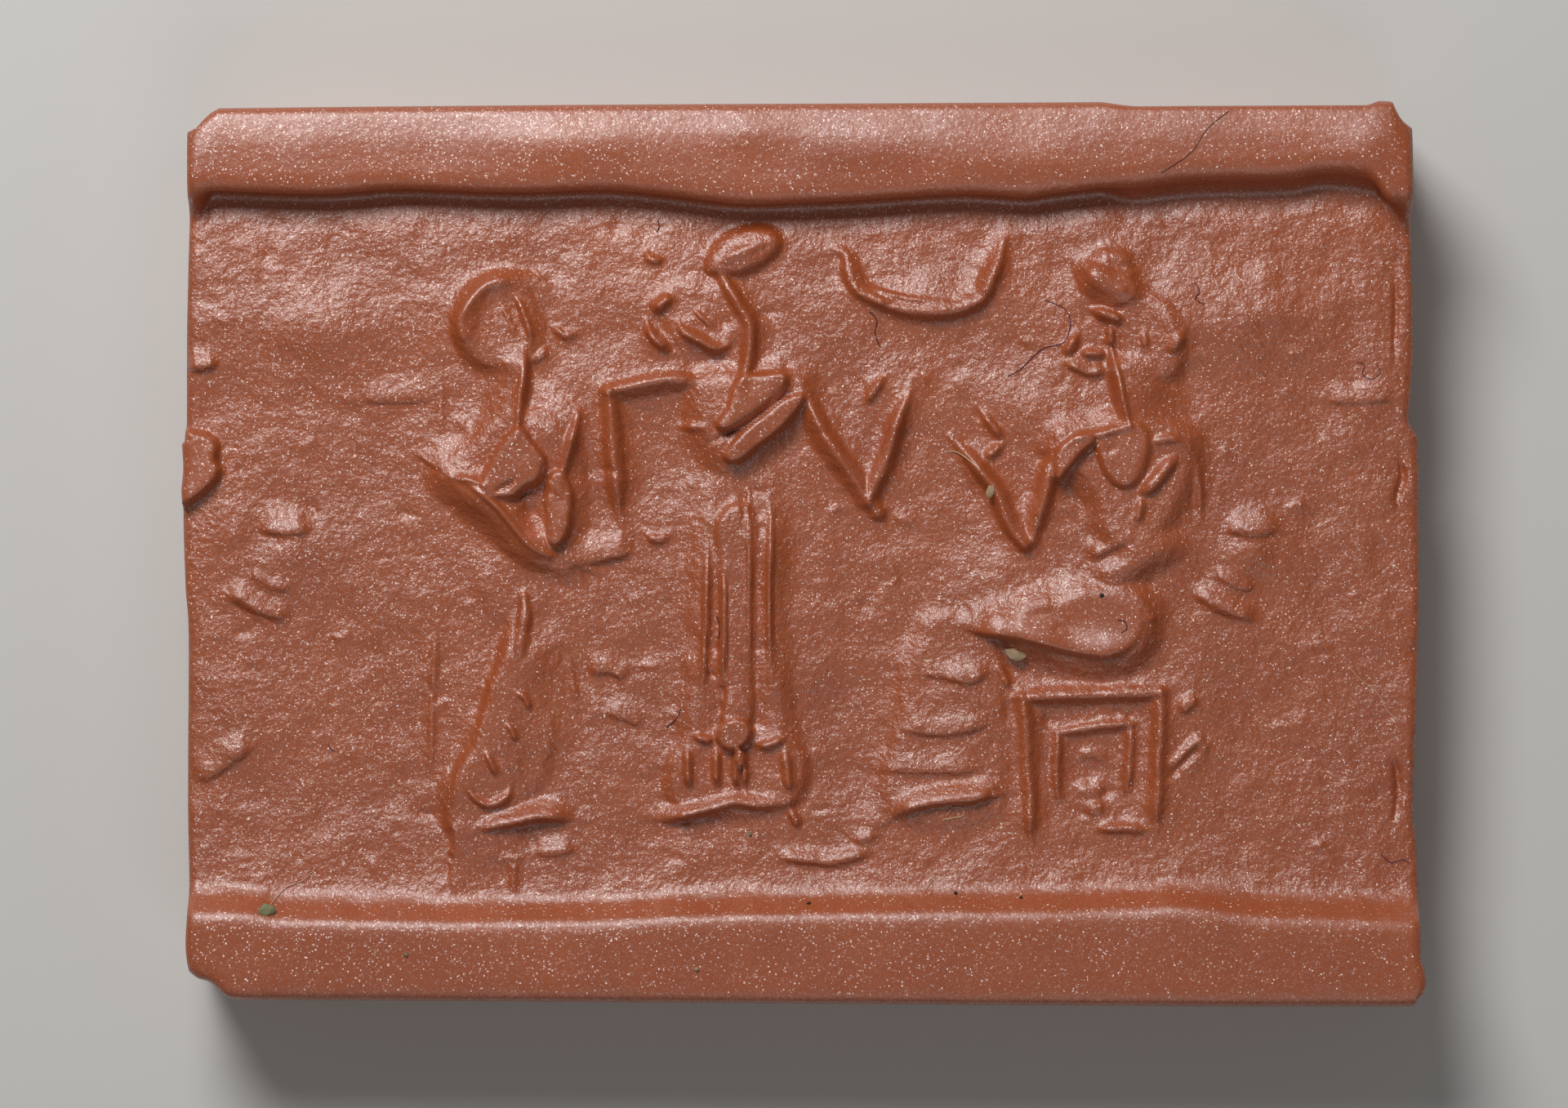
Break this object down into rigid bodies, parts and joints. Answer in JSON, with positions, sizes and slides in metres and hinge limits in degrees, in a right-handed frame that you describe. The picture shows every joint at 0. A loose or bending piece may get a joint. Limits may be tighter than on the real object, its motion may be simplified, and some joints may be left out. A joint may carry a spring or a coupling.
{
  "type": "cylinder seal impression",
  "caption": "Flat clay slab with the raised, rolled-out impression of a cylinder seal: standing figures before a seated figure on a stool, under a crescent.",
  "frame": {"origin": "under the middle of the slab, on its flat underside", "axes": "+X along the strip to the right of the scene, +Y towards the figures' heads, +Z out of the relief"},
  "size_m": [0.0348, 0.0254, 0.005],
  "materials": {
    "clay": "satin reddish-brown modelling clay with fine mica flecks"
  },
  "bodies": {
    "root": {"impression_slab": "clay"}
  },
  "joints": []
}
